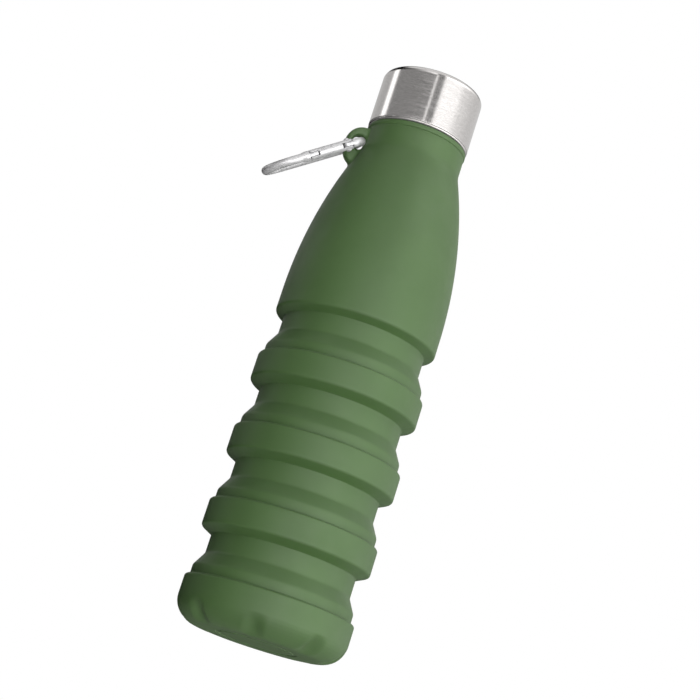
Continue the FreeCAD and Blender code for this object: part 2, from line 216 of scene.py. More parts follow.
def rounded(corners, step=1.0):
    """Points along an outline whose corners are (x, z) or (x, z, radius of its round)."""
    points = []
    count = len(corners)
    for i, corner in enumerate(corners):
        here = np.array(corner[:2], float)
        radius = corner[2] if len(corner) > 2 else 0
        if not radius:
            points.append(here)
            continue
        before = np.array(corners[i - 1][:2], float) - here
        after = np.array(corners[(i + 1) % count][:2], float) - here
        before /= np.linalg.norm(before)
        after /= np.linalg.norm(after)
        half = math.acos(np.clip(before @ after, -1, 1)) / 2
        middle = (before + after) / np.linalg.norm(before + after)
        centre = here + middle * radius / math.sin(half)
        start = here + before * radius / math.tan(half) - centre
        end = here + after * radius / math.tan(half) - centre
        sweep = math.pi - 2 * half
        bits = max(3, round(math.degrees(sweep) / 9))
        for k in range(bits + 1):
            t = k / bits
            mixed = (math.sin((1 - t) * sweep) * start + math.sin(t * sweep) * end) / math.sin(sweep)
            points.append(centre + mixed)
    return densified(points, step, closed=True)


def densified(points, step, closed):
    """The same outline with points no further apart than step."""
    out = []
    last = len(points) if closed else len(points) - 1
    for i in range(last):
        a, b = np.array(points[i]), np.array(points[(i + 1) % len(points)])
        bits = max(1, math.ceil(np.linalg.norm(b - a) / step))
        out += [a + (b - a) * k / bits for k in range(bits)]
    if not closed:
        out.append(np.array(points[-1]))
    return out


def make_mesh(name, vertices, faces, smooth_angle=40, carry=None):
    """A mesh object from millimetre vertices, shaded smooth but for its sharp edges.

    carry moves the vertices into the bottle's frame. The attribute own_place keeps where they were.
    """
    own = np.asarray(vertices, float)
    moved = carry(own) if carry else own
    mesh = bpy.data.meshes.new(name)
    mesh.from_pydata([tuple(v) for v in moved * MM], [], faces)
    places = mesh.attributes.new("own_place", "FLOAT_VECTOR", "POINT")
    places.data.foreach_set("vector", (own * MM).ravel())
    mesh.validate()
    mesh.shade_smooth()
    mesh.set_sharp_from_angle(angle=math.radians(smooth_angle))
    piece = bpy.data.objects.new(name, mesh)
    bpy.context.scene.collection.objects.link(piece)
    turn_outwards(piece)
    return piece


def lathe(name, outline, shape=None, segments=turns, carry=None):
    """Turns an outline about the z axis. shape may move the points before the mesh is made."""
    outline = np.array(outline)
    angles = np.arange(segments) * 2 * math.pi / segments
    count = len(outline)
    grid = np.zeros((segments, count, 3))
    grid[..., 0] = outline[None, :, 0] * np.cos(angles)[:, None]
    grid[..., 1] = outline[None, :, 0] * np.sin(angles)[:, None]
    grid[..., 2] = outline[None, :, 1]
    if shape:
        grid = shape(grid, angles)
    on_axis = outline[:, 0] < 1e-6
    index = np.arange(segments * count).reshape(segments, count)
    index[:, on_axis] = index[0, on_axis]
    faces = []
    for j in range(segments):
        k = (j + 1) % segments
        for i in range(count):
            n = (i + 1) % count
            if on_axis[i] and on_axis[n]:
                continue
            ring = [index[j, i], index[k, i], index[k, n], index[j, n]]
            if on_axis[i]:
                ring.pop(1)
            elif on_axis[n]:
                ring.pop(2)
            faces.append([int(v) for v in ring])
    used = sorted({v for f in faces for v in f})
    renumber = {v: n for n, v in enumerate(used)}
    vertices = grid.reshape(-1, 3)[used]
    return make_mesh(name, vertices, [[renumber[v] for v in f] for f in faces], carry=carry)


def turn_outwards(piece):
    """Flips the faces if the closed mesh is inside out."""
    mesh = piece.data
    mesh.calc_loop_triangles()
    co = np.array([v.co for v in mesh.vertices])
    tri = np.array([t.vertices for t in mesh.loop_triangles])
    volume = np.einsum("ij,ij->i", co[tri[:, 0]], np.cross(co[tri[:, 1]], co[tri[:, 2]])).sum()
    if volume < 0:
        mesh.flip_normals()


# Materials.


class Shader:
    """A node tree with short ways to add and link nodes."""

    def __init__(self, tree):
        self.tree = tree
        tree.nodes.clear()

    def add(self, kind, **values):
        node = self.tree.nodes.new("ShaderNode" + kind)
        for key, value in values.items():
            if hasattr(node, key):
                setattr(node, key, value)
            else:
                node.inputs[key.replace("_", " ").title()].default_value = value
        return node

    def join(self, a, out, b, into):
        self.tree.links.new(a.outputs[out], b.inputs[into])
        return b

    def math(self, operation, a, b=0.0):
        node = self.add("Math", operation=operation)
        for socket, value in zip(node.inputs, (a, b)):
            if isinstance(value, (int, float)):
                socket.default_value = value
            else:
                self.tree.links.new(value, socket)
        return node.outputs[0]

    def noise(self, place, scale, detail=2.0, roughness=0.5):
        node = self.add("TexNoise", scale=scale, detail=detail, roughness=roughness)
        self.tree.links.new(place, node.inputs["Vector"])
        return node.outputs["Fac"]

    def spread(self, value, low, high, from_low=0.0, from_high=1.0):
        node = self.add("MapRange")
        for socket, number in zip(list(node.inputs)[1:5], (from_low, from_high, low, high)):
            socket.default_value = number
        self.tree.links.new(value, node.inputs["Value"])
        return node.outputs["Result"]

    def stretched(self, place, scale):
        node = self.add("Mapping")
        node.inputs["Scale"].default_value = scale
        self.tree.links.new(place, node.inputs["Vector"])
        return node.outputs["Vector"]

    def bump(self, height, distance, strength=1.0, under=None):
        node = self.add("Bump")
        node.inputs["Distance"].default_value = distance
        node.inputs["Strength"].default_value = strength
        self.tree.links.new(height, node.inputs["Height"])
        if under is not None:
            self.tree.links.new(under, node.inputs["Normal"])
        return node.outputs["Normal"]

    def tinted(self, factor, first, second):
        node = self.add("Mix", data_type="RGBA")
        colours = [s for s in node.inputs if s.type == "RGBA"]
        colours[0].default_value = (*first, 1)
        colours[1].default_value = (*second, 1)
        self.tree.links.new(factor, node.inputs["Factor"])
        return [s for s in node.outputs if s.type == "RGBA"][0]


def new_material(name):
    """A material with a principled shader. Returns the material, its helper, the shader and the place."""
    material = bpy.data.materials.new(name)
    material.use_nodes = True
    shader = Shader(material.node_tree)
    surface = shader.add("BsdfPrincipled")
    shader.join(surface, "BSDF", shader.add("OutputMaterial"), "Surface")
    place = shader.add("TexCoord").outputs["Object"]
    return material, shader, surface, place


def silicone_material(name, light, dark, rough):
    """Moulded silicone: velvety, with a fine grain, faint mottling and a mould line in the XZ plane."""
    material, s, surface, place = new_material(name)
    link = s.tree.links.new
    mottle = s.noise(place, 60.0, detail=3.0)
    link(s.tinted(s.spread(mottle, 0.0, 1.0, 0.3, 0.7), dark, light), surface.inputs["Base Color"])
    smudge = s.noise(place, 140.0, detail=4.0, roughness=0.6)
    link(s.spread(smudge, rough - 0.04, rough + 0.06, 0.3, 0.7), surface.inputs["Roughness"])
    grain = s.noise(place, 4200.0, detail=1.0)
    fine = s.bump(grain, 0.00003, 0.35)
    soft = s.bump(s.noise(place, 320.0, detail=2.0), 0.00012, 0.16, under=fine)
    axes = s.add("SeparateXYZ")
    link(place, axes.inputs[0])
    off_plane = s.math("ABSOLUTE", axes.outputs["Y"])
    line = s.spread(off_plane, 1.0, 0.0, 0.00005, 0.00025)
    link(s.bump(line, 0.00006, 0.5, under=soft), surface.inputs["Normal"])
    surface.inputs["Specular IOR Level"].default_value = 0.5
    surface.inputs["Subsurface Weight"].default_value = 0.08
    surface.inputs["Subsurface Scale"].default_value = 0.0015
    surface.inputs["Subsurface Radius"].default_value = (0.6, 1.0, 0.4)
    return material


def brushed_steel_material():
    """Steel brushed round the axis: fine hoops of scratch, and highlights drawn out along the axis."""
    material, s, surface, place = new_material("brushed_steel")
    link = s.tree.links.new
    axes = s.add("SeparateXYZ")
    link(place, axes.inputs[0])
    squares = [s.math("POWER", axes.outputs[axis], 2) for axis in "XY"]
    out = s.math("SQRT", s.math("ADD", *squares))
    turn = s.math("ARCTAN2", axes.outputs["Y"], axes.outputs["X"])
    hoop = s.add("CombineXYZ")
    link(s.math("MULTIPLY", turn, 0.004), hoop.inputs["X"])
    link(axes.outputs["Z"], hoop.inputs["Y"])
    link(out, hoop.inputs["Z"])
    brushing = s.noise(hoop.outputs[0], 4000.0, detail=4.0, roughness=0.7)
    broad = s.noise(hoop.outputs[0], 900.0, detail=2.0)
    shade = s.tinted(s.spread(brushing, 0.0, 1.0, 0.3, 0.7), (0.53, 0.515, 0.505), (0.73, 0.71, 0.7))
    link(shade, surface.inputs["Base Color"])
    link(s.spread(broad, 0.15, 0.2, 0.3, 0.7), surface.inputs["Roughness"])
    link(s.bump(brushing, 0.000012, 0.3), surface.inputs["Normal"])
    tangent = s.add("Tangent", direction_type="RADIAL", axis="Z")
    link(tangent.outputs[0], surface.inputs["Tangent"])
    surface.inputs["Metallic"].default_value = 1.0
    surface.inputs["Anisotropic"].default_value = 0.55
    surface.inputs["Anisotropic Rotation"].default_value = 0.25
    return material


def wrought_material(name, bright, dull, rough):
    """Satin tumbled metal, partly matt, with soft dents and fine scratches along its own x."""
    material, s, surface, _ = new_material(name)
    link = s.tree.links.new
    place = s.add("Attribute", attribute_name="own_place").outputs["Vector"]
    cloud = s.noise(place, 420.0, detail=3.0)
    link(s.tinted(s.spread(cloud, 0.0, 1.0, 0.35, 0.65), dull, bright), surface.inputs["Base Color"])
    link(s.spread(cloud, rough, rough + 0.08, 0.35, 0.65), surface.inputs["Roughness"])
    scratch = s.noise(s.stretched(place, (0.12, 1.0, 1.0)), 4200.0, detail=2.0)
    dents = s.bump(s.noise(place, 420.0, detail=1.0), 0.00004, 0.06)
    link(s.bump(scratch, 0.000006, 0.12, under=dents), surface.inputs["Normal"])
    surface.inputs["Metallic"].default_value = 0.4
    return material


def drawn_wire_material():
    """Hard-drawn spring steel, streaked by its die."""
    material, s, surface, place = new_material("spring_steel")
    link = s.tree.links.new
    streak = s.noise(place, 2600.0, detail=3.0)
    shade = s.tinted(s.spread(streak, 0.0, 1.0, 0.3, 0.7), (0.3, 0.29, 0.28), (0.52, 0.51, 0.5))
    link(shade, surface.inputs["Base Color"])
    link(s.spread(streak, 0.22, 0.4, 0.3, 0.7), surface.inputs["Roughness"])
    link(s.bump(streak, 0.00001, 0.4), surface.inputs["Normal"])
    surface.inputs["Metallic"].default_value = 1.0
    return material


def moulded_material(name, colour, rough, glow=0.0):
    """Moulded plastic or clear-white silicone with a spark-eroded texture."""
    material, s, surface, place = new_material(name)
    link = s.tree.links.new
    deep = tuple(c * 0.85 for c in colour)
    cloud = s.noise(place, 120.0, detail=3.0)
    link(s.tinted(s.spread(cloud, 0.0, 1.0, 0.35, 0.65), deep, colour), surface.inputs["Base Color"])
    link(s.spread(s.noise(place, 900.0), rough - 0.06, rough + 0.06, 0.3, 0.7), surface.inputs["Roughness"])
    link(s.bump(s.noise(place, 3000.0, detail=1.0), 0.00003, 0.3), surface.inputs["Normal"])
    surface.inputs["Subsurface Weight"].default_value = glow
    surface.inputs["Subsurface Scale"].default_value = 0.002
    return material


# Silicone body.


def underside_slope():
    """Rise of a band's sloping underside for each millimetre outwards."""
    return (corner_height - crease_height) / (band_radius - corner_inset - groove_radius)


def underside(radius, crease):
    """Height of a band's sloping underside outside its crease."""
    return crease + (radius - groove_radius) * underside_slope()


def underside_skin():
    """Radial and axial step from the outer to the inner face of the underside's wall."""
    angle = math.atan(underside_slope())
    return -fold_wall * math.sin(angle), fold_wall * math.cos(angle)


def band_top(step):
    """Outline of a band's upper edge with the stub of the collar above it, from its side inwards."""
    slope_start, slope_end = inner_step
    return [
        (band_radius, step, top_round),
        (collar_radius, step, stub_round),
        (collar_radius, step + stub_height),
        (collar_radius - fold_wall, step + stub_height),
        (collar_radius - fold_wall, step - slope_start),
        (band_radius - band_wall, step - slope_end),
    ]


def band_outline(index):
    """One thick band, counted from the base."""
    crease = base_height + (index - 1) * fold_pitch + crease_height
    step_in, step_up = underside_skin()
    seam = underside(band_seam, crease)
    corner = underside(band_radius, crease)
    lower = [
        (band_radius - band_wall, corner + inner_rise, inner_round),
        (band_seam + step_in, seam + step_up),
        (band_seam, seam),
        (band_radius, corner, corner_round),
    ]
    return rounded(lower + band_top(base_height + index * fold_pitch))


def fold_outline(index):
    """The thin wall between two bands, counted from the base."""
    step = base_height + (index - 1) * fold_pitch
    crease = step + crease_height
    seam_radius = band_seam if index < fold_count else rim_seam
    step_in, step_up = underside_skin()
    seam = underside(seam_radius, crease)
    slope = (seam - crease) / (seam_radius - groove_radius)
    outer = [
        (collar_radius, step + stub_height),
        (collar_radius, step + collar_height, fold_round),
        (groove_radius, step + cone_top, fold_round),
        (groove_radius, crease, crease_round),
        (seam_radius, seam),
    ]
    inner = [
        (seam_radius + step_in, seam + step_up),
        (groove_radius - fold_wall, crease + step_up - fold_wall * slope),
        (groove_radius - fold_wall, step + cone_top - fold_inner_drop, fold_round),
        (collar_radius - fold_wall, step + collar_height - fold_inner_drop, fold_round),
        (collar_radius - fold_wall, step + stub_height),
    ]
    return rounded(outer + inner, step=0.6)


def base_outline():
    """The bottom cup."""
    groove_in, groove_out, groove_depth = foot_groove
    corners = [
        (0, 0),
        (groove_in, 0, foot_groove_round),
        (groove_in, groove_depth, foot_groove_round),
        (groove_out, groove_depth, foot_groove_round),
        (groove_out, 0, foot_groove_round),
        (band_radius, 0, base_corner),
    ]
    corners += band_top(base_height)
    corners += [(band_radius - band_wall, base_floor, base_inner_round), (0, base_floor)]
    return rounded(corners, step=0.7)


def soft_step(depth, softness):
    """Zero well below zero, depth well above it, and a smooth curve between."""
    eased = (depth + softness) ** 2 / (4 * softness)
    return np.where(depth < -softness, 0, np.where(depth > softness, depth, eased))


def fluted(grid, angles):
    """Presses flutes into the cup's lower corner: round grooves that follow its curve and fade out."""
    low, high = math.radians(flute_ends[0]), math.radians(flute_ends[1])
    out = grid.copy()
    for k in range(flute_count):
        turn = math.radians(flute_first + k * 360 / flute_count)
        cos, sin = math.cos(turn), math.sin(turn)
        spin = np.array([[cos, sin, 0], [-sin, cos, 0], [0, 0, 1]])
        local = grid @ spin.T
        x = local[..., 0] - band_radius + base_corner
        drop = base_corner - local[..., 2]
        nearest = np.clip(np.arctan2(drop, x), low, high)
        fade = np.sin(math.pi * (nearest - low) / (high - low)) ** flute_fade
        reach = base_corner + flute_radius - flute_depth
        out_of_groove = x - reach * np.cos(nearest)
        down_of_groove = drop - reach * np.sin(nearest)
        across = np.stack([out_of_groove, local[..., 1], down_of_groove], -1)
        distance = np.linalg.norm(across, axis=-1)
        press = soft_step(flute_radius - distance, flute_softness) * fade
        inwards = np.stack([-np.cos(nearest), np.zeros(x.shape), np.sin(nearest)], -1)
        out += press[..., None] * (inwards @ spin)
    return out


def long_arc(heights, inset=0.0):
    """Radius of the shoulder's long arc at these heights, set in by a wall."""
    rise = np.asarray(heights) - shoulder_start
    return rim_radius - shoulder_arc + np.sqrt((shoulder_arc - inset) ** 2 - rise**2)


def shoulder_outer():
    """The shoulder's outside from its rim up to the lip's top, as points."""
    centre_x = rim_radius - shoulder_arc
    blend_x = neck_radius + neck_blend
    reach = shoulder_arc + neck_blend
    blend_z = shoulder_start + math.sqrt(reach**2 - (blend_x - centre_x) ** 2)
    start = math.atan2(blend_z - shoulder_start, blend_x - centre_x)
    low = shoulder_start + shoulder_arc * math.sin(start)
    points = [(float(long_arc(z)), z) for z in np.linspace(shoulder_start, low, 60)]
    for t in np.linspace(0, 1, 9)[1:]:
        angle = start * (1 - t)
        points.append((blend_x - neck_blend * math.cos(angle), blend_z - neck_blend * math.sin(angle)))
    return points


def neck_outline():
    """The lip and the bore that holds the threaded collar."""
    lip_bottom = silicone_top - lip_height
    line_start, line_low, line_high = [lip_bottom + height for height in lip_line_heights]
    edge_low, edge_high = [lip_bottom + height for height in lip_edge_heights]
    bevel_middle, bevel = lip_bevel
    ledge_width, ledge_drop = insert_ledge
    return [
        (neck_radius, line_start),
        (neck_radius - lip_line_depth, line_low),
        (neck_radius - lip_line_depth, line_high),
        (lip_radius - lip_edge_inset, edge_low),
        (lip_radius, edge_high),
        (lip_radius, silicone_top - bevel),
        (lip_radius - bevel_middle, silicone_top - bevel_middle),
        (lip_radius - bevel, silicone_top),
        (insert_radius, silicone_top),
        (insert_radius, insert_bottom),
        (mouth_radius + ledge_width, insert_bottom),
        (mouth_radius + ledge_width, insert_bottom - ledge_drop),
    ]


def shoulder_outline():
    """The whole wall of the upper shell."""
    crease = base_height + (fold_count - 1) * fold_pitch + crease_height
    step_in, step_up = underside_skin()
    seam = underside(rim_seam, crease)
    side = underside(rim_radius, crease)
    corner = (rim_radius, side, corner_round)
    rim = rounded([(rim_seam, seam), corner, (rim_radius, shoulder_start), (0, seam)])
    rim_end = next(i for i, p in enumerate(rim) if p[1] > shoulder_start - tiny)
    funnel = insert_bottom - funnel_height
    inner_heights = np.linspace(funnel, shoulder_start, 40)
    inner = [(float(long_arc(z, shoulder_wall)), z) for z in inner_heights]
    low = [
        (inner[-1][0], side + inner_rise),
        (rim_seam + step_in, seam + step_up),
    ]
    points = rim[:rim_end] + shoulder_outer() + neck_outline() + inner + low
    return densified([np.array(p, float) for p in points], step=1.2, closed=True)


def body_radius(heights):
    """The silicone's outer radius at these heights, near the ear."""
    outer = np.array(shoulder_outer() + [(neck_radius, silicone_top)])
    return np.interp(heights, outer[:, 1], outer[:, 0])


def ear_plan(x, z):
    """Signed distance to the ear's outline in its plane: two rounds and their tangents, less the eye."""
    reach = np.array(ear_chin) - np.array(ear_lobe)
    length = np.linalg.norm(reach)
    down = reach / length
    along = (x - ear_lobe[0]) * down[0] + (z - ear_lobe[1]) * down[1]
    aside = np.abs((x - ear_lobe[0]) * down[1] - (z - ear_lobe[1]) * down[0])
    lean = (ear_lobe_radius - ear_chin_radius) / length
    rise = math.sqrt(1 - lean**2)
    share = along * rise - aside * lean
    lobe = np.hypot(aside, along) - ear_lobe_radius
    chin = np.hypot(aside, along - length) - ear_chin_radius
    side = aside * rise + along * lean - ear_lobe_radius
    rounds = np.where(share < 0, lobe, np.where(share > rise * length, chin, side))
    top = z - ear_lobe[1] - ear_lobe_radius
    bottom = ear_chin[1] - ear_chin_radius - z
    web = np.maximum.reduce([top, bottom, x - ear_lobe[0]])
    eye = ear_hole_radius - np.hypot(x - ear_hole[0], z - ear_hole[1])
    return np.maximum(np.minimum(rounds, web), eye)


def ear_field(p):
    """Signed distance to the ear with its root blended into the shoulder, less what is inside the wall."""
    x, y, z = -p[..., 0], p[..., 1], p[..., 2]
    body = np.hypot(x, y) - body_radius(z)
    plan = ear_plan(x, z) + ear_round
    side = np.abs(y) - ear_thickness / 2 + ear_round
    outside = np.hypot(np.maximum(plan, 0), np.maximum(side, 0))
    plate = outside + np.minimum(np.maximum(plan, side), 0) - ear_round
    mix = np.clip(0.5 + 0.5 * (plate - body) / ear_root_blend, 0, 1)
    joined = plate + (body - plate) * mix - ear_root_blend * mix * (1 - mix)
    skirt = plate - ear_root_blend + 4 * ear_proud
    return np.maximum.reduce([joined - ear_proud, -(body + ear_skin), skirt])


def slope_of(field, points):
    """The field's gradient at these points."""
    return np.stack([(field(points + d) - field(points - d)) / (2 * tiny) for d in np.eye(3) * tiny], -1)


def surface_net(name, field, low, high, step, carry=None):
    """A closed mesh of the field's zero surface, with one vertex in each grid cell that it crosses.

    The vertices are then moved onto the surface, and shaded by the field's slope there.
    """
    counts = np.ceil((np.array(high) - low) / step).astype(int)
    axes = [low[i] + step * np.arange(counts[i] + 1) for i in range(3)]
    grid = np.stack(np.meshgrid(*axes, indexing="ij"), -1)
    value = field(grid)
    inside = value < 0
    total = np.zeros((*counts, 3))
    hits = np.zeros(counts)
    corners = [(i, j, k) for i in (0, 1) for j in (0, 1) for k in (0, 1)]

    def at(array, c):
        return array[c[0] : c[0] + counts[0], c[1] : c[1] + counts[1], c[2] : c[2] + counts[2]]

    for a in corners:
        for axis in range(3):
            if a[axis]:
                continue
            b = tuple(a[i] + (i == axis) for i in range(3))
            va, vb = at(value, a), at(value, b)
            crossed = at(inside, a) != at(inside, b)
            share = np.where(crossed, va / np.where(crossed, va - vb, 1), 0)
            point = at(grid, a) + share[..., None] * (at(grid, b) - at(grid, a))
            total += point * crossed[..., None]
            hits += crossed
    live = hits > 0
    number = np.full(counts, -1)
    number[live] = np.arange(live.sum())
    points = total[live] / hits[live][:, None]
    faces = []
    for axis in range(3):
        one, two = [i for i in range(3) if i != axis]
        shape = [slice(1, counts[i]) if i != axis else slice(0, counts[i]) for i in range(3)]
        ahead = [slice(s.start, s.stop) for s in shape]
        ahead[axis] = slice(1, counts[axis] + 1)
        a, b = inside[tuple(shape)], inside[tuple(ahead)]
        for start in np.argwhere(a != b):
            cell = [start[i] + (1 if i != axis else 0) for i in range(3)]
            ring = []
            for d1, d2 in ((0, 0), (1, 0), (1, 1), (0, 1)):
                c = list(cell)
                c[one] -= d1
                c[two] -= d2
                ring.append(int(number[tuple(c)]))
            flip = bool(a[tuple(start)]) == (axis == 1)
            faces.append(ring[::-1] if flip else ring)
    least_slope = 0.2
    for _ in range(4):
        slope = slope_of(field, points)
        size = np.maximum((slope**2).sum(-1), least_slope)
        points = points - slope * (field(points) / size)[:, None]
    piece = make_mesh(name, points, faces, smooth_angle=180, carry=carry)
    outwards = slope_of(field, points)
    if carry:
        outwards = carry(points + outwards) - carry(points)
    piece.data.normals_split_custom_set_from_vertices([Vector(v).normalized() for v in outwards])
    return piece


def build_silicone(material):
    """The base cup, bands, fold walls, shoulder and ear."""
    bodies = ["base"] + [f"band_{i}" for i in range(1, fold_count)] + ["upper"]
    rigid = [("silicone_base", base_outline(), fluted, "base", "base_cup")]
    for i in range(1, fold_count):
        rigid.append((f"silicone_band_{i}", band_outline(i), None, bodies[i], f"fold_ring_{i}"))
    rigid.append(("silicone_shoulder", shoulder_outline(), None, "upper", "shoulder"))
    for name, outline, shape, body, node in rigid:
        piece = lathe(name, outline, shape)
        piece.visible_glossy = body != "upper"
        finish_piece(piece, material, "silicone", body, node)
    ear = surface_net("silicone_ear", ear_field, *ear_box, ear_step)
    ear.visible_glossy = False
    finish_piece(ear, material, "silicone", "upper", "carry_ear")
    for i in range(1, fold_count + 1):
        piece = lathe(f"silicone_fold_{i}", fold_outline(i))
        piece.data.materials.append(material)
        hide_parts(f"fold_wall_{i}")
        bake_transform(piece)


def finish_piece(piece, material, slot, body, *nodes):
    """Gives a piece its material and body, and lets it stand for its CAD nodes."""
    piece.data.materials.append(material)
    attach(piece, body)
    if nodes:
        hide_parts(*nodes)


# Mouth and cap.


def ridge_profile(distance):
    """Height share of a thread ridge at an axial distance from its middle."""
    flank = (ridge_root - ridge_crest) / 2
    return np.clip((ridge_root / 2 - np.abs(distance)) / flank, 0, 1)


def threaded(low, rise, root, crest):
    """A shape function that raises the thread's starts on the wall at root."""

    def shape(grid, angles):
        radius = np.hypot(grid[..., 0], grid[..., 1])
        on_wall = np.abs(radius - root) < 2 * tiny
        height = np.zeros(radius.shape)
        for start in range(thread_starts):
            turn = (angles - start * 2 * math.pi / thread_starts) % (2 * math.pi)
            for lap in range(-1, 3):
                middle = low + thread_lead * (turn / (2 * math.pi) + lap)
                share = (middle - low) / rise
                ends = np.clip(share * thread_taper, 0, 1) * np.clip((1 - share) * thread_taper, 0, 1)
                here = ridge_profile(grid[..., 2] - middle[:, None]) * np.sqrt(ends)[:, None]
                height = np.maximum(height, here)
        scale = 1 + on_wall * height * (crest - root) / np.maximum(radius, 1)
        out = grid.copy()
        out[..., 0] *= scale
        out[..., 1] *= scale
        return out

    return shape


def build_mouth(material):
    """The threaded collar."""
    top = silicone_top + flange_height
    flange_low, flange_high = flange_rounds
    corners = [
        (mouth_radius, insert_bottom, insert_round),
        (insert_radius, insert_bottom, insert_round),
        (insert_radius, silicone_top - tiny),
        (flange_radius, silicone_top - tiny, flange_low),
        (flange_radius, top, flange_high),
        (thread_root, top),
        (thread_root, collar_top, mouth_round),
        (mouth_radius, collar_top, mouth_round),
    ]
    shape = threaded(thread_bottom, thread_rise, thread_root, thread_crest)
    collar = lathe("mouth_collar", rounded(corners, step=0.25), shape)
    finish_piece(collar, material, "collar_plastic", "upper", "neck_collar")


def build_cap(steel, plastic, washer):
    """The steel shell, the threaded liner and the sealing washer."""
    inner = cap_radius - cap_wall
    hem_top, hem_middle = [cap_bottom + share * cap_bevel for share in hem_shares]
    shell = [
        (0, cap_top),
        (cap_radius, cap_top, cap_corner),
        (cap_radius, cap_bottom + cap_bevel, 0.2),
        (cap_radius - cap_bevel_depth, hem_top, 0.12),
        (cap_radius - hem_bulge, hem_middle, 0.25),
        (cap_radius - cap_bevel_depth, cap_bottom, 0.15),
        (inner - hem_inner, cap_bottom, 0.08),
        (inner, cap_bottom + cap_bevel),
        (inner, cap_top - cap_wall, cap_corner - cap_wall),
        (0, cap_top - cap_wall),
    ]
    piece = lathe("cap_shell_brushed", rounded(shell, step=0.5))
    finish_piece(piece, steel, "cap_steel", "cap", "cap_shell")
    seat = collar_top + gasket_height
    liner = [
        (0, seat),
        (liner_bore, seat, 0.3),
        (liner_bore, liner_bottom, 0.5),
        (liner_radius, liner_bottom, 0.2),
        (liner_radius, cap_top - cap_wall, cap_corner - cap_wall),
        (liner_well, cap_top - cap_wall),
        (liner_well, seat + liner_plate),
        (0, seat + liner_plate),
    ]
    low = thread_bottom + thread_lead / thread_starts / 2
    shape = threaded(low, liner_rise, liner_bore, liner_crest)
    piece = lathe("cap_liner_threaded", rounded(liner, step=0.25), shape)
    finish_piece(piece, plastic, "cap_plastic", "cap", "cap_liner")
    ring = [
        (gasket_inner, collar_top, gasket_round),
        (gasket_outer, collar_top, gasket_round),
        (gasket_outer, seat, gasket_round),
        (gasket_inner, seat, gasket_round),
    ]
    piece = lathe("cap_washer", rounded(ring, step=0.4))
    finish_piece(piece, washer, "gasket_silicone", "gasket", "cap_gasket")


# Carabiner.


def into_ear(points):
    """Moves points from the carabiner's own axes into the bottle's frame."""
    drop = math.radians(carabiner_drop)
    roll = math.radians(carabiner_roll)
    along = np.array([-math.cos(drop), 0, -math.sin(drop)])
    level = np.array([0, 1, 0])
    under = np.cross(along, level)
    across = level * math.cos(roll) - under * math.sin(roll)
    through = under * math.cos(roll) + level * math.sin(roll)
    eye = np.array([-ear_hole[0], 0, ear_hole[1]]) + along * carabiner_pull
    return eye + points @ np.array([along, across, through])


def across_gate(u):
    """Carries a piece turned about z onto the gate's line at u, with its axis through the loop."""
    return lambda points: into_ear(points + np.array([u, -loop_half, 0]))


def along_gate(points):
    """Carries a piece turned about z onto the gate's line, with its axis along the gate."""
    return into_ear(points[:, [2, 0, 1]] + np.array([0, -loop_half, 0]))


def soft_max(a, b, softness):
    """The larger of two signed distances, with a round of about this size where they meet."""
    mix = np.clip(0.5 + 0.5 * (a - b) / softness, 0, 1)
    return b + (a - b) * mix + softness * mix * (1 - mix)


def loop_distance(u, v):
    """Distance in the flat from the loop's centre line."""
    aside = np.abs(v)
    flat = loop_half - ear_bend
    tip_start = loop_length - loop_half
    ear_end = np.hypot(ear_bend - u, np.maximum(aside - flat, 0)) - ear_bend
    tip_end = np.hypot(u - tip_start, v) - loop_half
    sides = aside - loop_half
    return np.abs(np.where(u < ear_bend, ear_end, np.where(u > tip_start, tip_end, sides)))


def frame_field(p):
    """Signed distance to the bent wire, with its hinge tongue, its swollen nose and the latch notch."""
    u, v, w = p[..., 0], p[..., 1], p[..., 2]
    beside = v + loop_half
    wire = np.hypot(loop_distance(u, v), w) - wire_radius
    taper = np.clip(2 * (nose_start + nose_length - u) / nose_length, 0, 1)
    swell = np.hypot(beside, w) - wire_radius - (nose_radius - wire_radius) * taper
    swell_ends = np.maximum(nose_start - u, u - nose_start - nose_length)
    wire = np.minimum(wire, soft_max(swell, swell_ends, wrought_edge))
    thick = np.abs(w) - tongue_half
    hinge_end = np.where(u > hinge_u, np.hypot(u - hinge_u, beside), 0) - tongue_radius
    hinge_cut = np.maximum(np.minimum(u - tongue_start, thick), hinge_end)
    seat = np.hypot(u - latch_u, beside) - notch_radius
    throat_start, throat_end = latch_u - notch_radius - notch_ease, latch_u + notch_radius
    throat = np.maximum.reduce([throat_start - u, u - throat_end, -beside])
    nose_cut = np.maximum.reduce([np.minimum(nose_start - u, thick), nose_tip - u, -seat, -throat])
    cut = np.where(u < (hinge_u + nose_tip) / 2, hinge_cut, nose_cut)
    return np.where(v < 0, soft_max(wire, cut, wrought_edge), wire)


def gate_field(p):
    """Signed distance to the tubular gate, with its two slots and its bore."""
    u, v, w = p[..., 0], p[..., 1], p[..., 2]
    beside = v + loop_half
    out = np.hypot(beside, w)
    hinge_end = np.hypot(np.minimum(u - hinge_u, 0), beside) - gate_radius
    gate = soft_max(np.maximum(out - gate_radius, hinge_end), u - gate_end, wrought_edge)
    opening = gate_slot_half - np.abs(w)
    bore = np.minimum.reduce([gate_radius - gate_wall - out, u - gate_bore[0], gate_bore[1] - u])
    slots = np.minimum(opening, np.maximum(gate_slot_end - u, u - latch_slot_start))
    return soft_max(gate, np.maximum(slots, bore), wrought_edge / 2)


def rivet_outline():
    """The rivet's half section, from the top of one domed head to the other's."""
    ball = (rivet_head_radius**2 + rivet_head_height**2) / (2 * rivet_head_height)
    centre = gate_radius + rivet_head_height - ball
    widest = math.asin(rivet_head_radius / ball)
    head = [(ball * math.sin(t), centre + ball * math.cos(t)) for t in np.linspace(0, widest, 9)]
    head.append((rivet_head_radius, gate_radius - head_sink))
    head.append((rivet_radius, gate_radius - head_sink))
    return head + [(r, -z) for r, z in reversed(head)]


